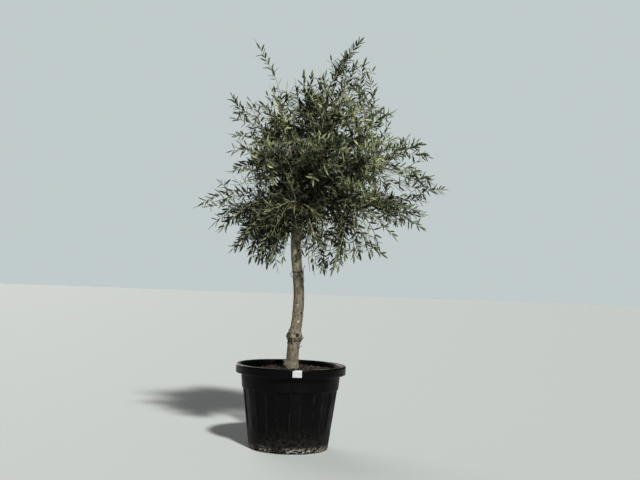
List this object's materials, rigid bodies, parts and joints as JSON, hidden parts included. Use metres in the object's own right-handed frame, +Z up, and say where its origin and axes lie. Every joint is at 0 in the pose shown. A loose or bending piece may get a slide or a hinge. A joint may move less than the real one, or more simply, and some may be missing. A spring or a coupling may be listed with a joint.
{
  "type": "potted olive tree",
  "caption": "Young olive tree with a clear gnarled stem and an open bushy head of narrow grey-green leaves, standing in a black ribbed plastic nursery pot.",
  "frame": {"origin": "centre of the pot's flat underside, where it stands on the ground", "axes": "+Z up along the pot's axis; -Y is the front, where the label is; +X is to the right seen from the front"},
  "size_m": [1.136, 0.9742, 1.82],
  "materials": {
    "pot": "moulded near-black, satin on the lip, dusty and soil-splashed near the foot",
    "soil": "loose brown potting compost with reddish crumbs of bark",
    "label": "blank white sticker, faintly creased",
    "trunk_bark": "grey-brown bark, finely fissured, with knots and pruning scars",
    "tie": "thin dark coated wire",
    "bough_bark": "smooth grey-brown young bark",
    "limb_bark": "smooth pale grey-green young bark",
    "foliage": "leathery narrow leaves, dull dark olive above and silvery below, on pale thin twigs"
  },
  "bodies": {
    "root": {"pot": "pot", "soil": "soil", "label": "label", "trunk": "trunk_bark", "tie": "tie", "bough_upper_1": "bough_bark", "bough_upper_2": "bough_bark", "bough_upper_3": "bough_bark", "bough_upper_4": "bough_bark", "bough_top": "bough_bark", "limb_middle_1": "limb_bark", "limb_middle_2": "limb_bark", "limb_middle_3": "limb_bark", "limb_middle_4": "limb_bark", "limb_middle_5": "limb_bark", "limb_middle_6": "limb_bark", "limb_low_1": "limb_bark", "limb_low_2": "limb_bark", "limb_low_3": "limb_bark", "limb_low_4": "limb_bark", "limb_low_5": "limb_bark", "foliage_upper_1": "foliage", "foliage_upper_2": "foliage", "foliage_upper_3": "foliage", "foliage_upper_4": "foliage", "foliage_top": "foliage", "foliage_middle_1": "foliage", "foliage_middle_2": "foliage", "foliage_middle_3": "foliage", "foliage_middle_4": "foliage", "foliage_middle_5": "foliage", "foliage_middle_6": "foliage", "foliage_low_1": "foliage", "foliage_low_2": "foliage", "foliage_low_3": "foliage", "foliage_low_4": "foliage", "foliage_low_5": "foliage"}
  },
  "joints": []
}
